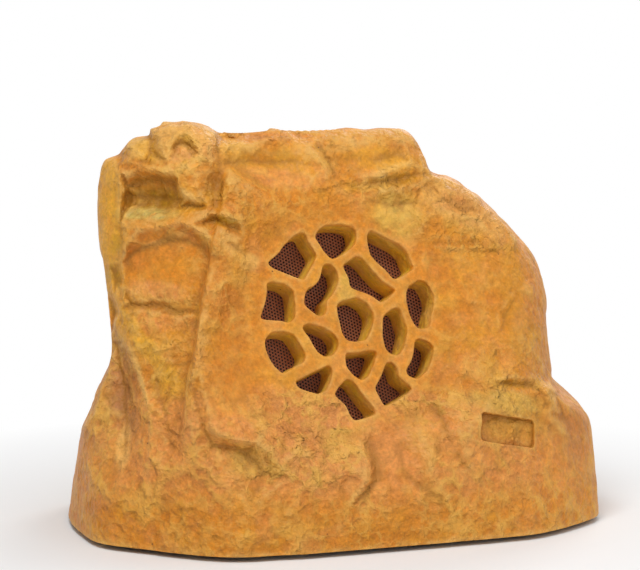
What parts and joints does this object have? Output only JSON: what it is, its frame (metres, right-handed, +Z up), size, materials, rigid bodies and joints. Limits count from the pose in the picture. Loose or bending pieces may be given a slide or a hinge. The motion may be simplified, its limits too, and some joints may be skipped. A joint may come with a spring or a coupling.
{
  "type": "rock shaped garden speaker",
  "caption": "Garden loudspeaker in a hollow moulded boulder: a full-range driver behind a perforated sheet and a moulded lattice of open cells, on rubber feet with a rear cable gland.",
  "frame": {"origin": "on the ground under the middle of the object's box, between the feet", "axes": "+Z up, +Y to the back, so the lattice looks towards -Y and +X is the long way across the rock"},
  "size_m": [0.4078, 0.2848, 0.3085],
  "materials": {
    "rock_paint": "satin mottled ochre paint on moulded resin",
    "grille_steel": "brown painted perforated steel",
    "foam": "closed cell foam",
    "black_steel": "black stoved paint",
    "soft_rubber": "matt moulded rubber",
    "cone_paper": "pressed paper pulp",
    "spider_cloth": "resin dipped cloth",
    "copper": "enamelled copper wire",
    "plated_steel": "zinc plated",
    "ferrite": "dull ferrite",
    "board": "brown laminate",
    "tinned_brass": "tinned brass",
    "core_steel": "varnished laminations",
    "coil_tape": "yellow film tape",
    "block_plastic": "white moulded plastic",
    "base_plastic": "black moulded plastic",
    "gland_plastic": "black nylon",
    "wire": "wire sleeve"
  },
  "bodies": {
    "housing": {"rock_shell": "rock_paint", "perforated_grille": "grille_steel", "speaker_gasket": "foam", "driver_basket": "black_steel", "surround": "soft_rubber", "spider": "spider_cloth", "top_plate": "plated_steel", "magnet": "ferrite", "yoke": "plated_steel", "terminal_strip": "board", "solder_tags": "tinned_brass", "driver_screws": "plated_steel", "base_plate": "base_plastic", "base_gasket": "foam", "base_screws": "plated_steel", "rubber_feet": "soft_rubber", "foot_screws": "plated_steel", "foot_nuts": "plated_steel", "gland_body": "gland_plastic", "gland_washer": "soft_rubber", "gland_seal": "soft_rubber", "gland_nut": "gland_plastic", "gland_locknut": "gland_plastic", "transformer_core": "core_steel", "transformer_coil": "coil_tape", "transformer_frame": "plated_steel", "transformer_screws": "plated_steel", "terminal_block": "block_plastic", "terminal_screws": "tinned_brass", "block_screws": "plated_steel", "driver_leads": "wire", "inlet_leads": "wire"},
    "diaphragm": {"cone": "cone_paper", "whizzer_cone": "cone_paper", "dust_cap": "cone_paper", "voice_coil": "copper"}
  },
  "joints": [
    {"name": "cone_travel", "type": "slide", "parent": "housing", "child": "diaphragm", "axis": [0, -0.9478, 0.319], "range_m": [-0.003, 0.003], "stiffness_N_per_m": 1200, "deforming": ["surround", "spider"]}
  ]
}
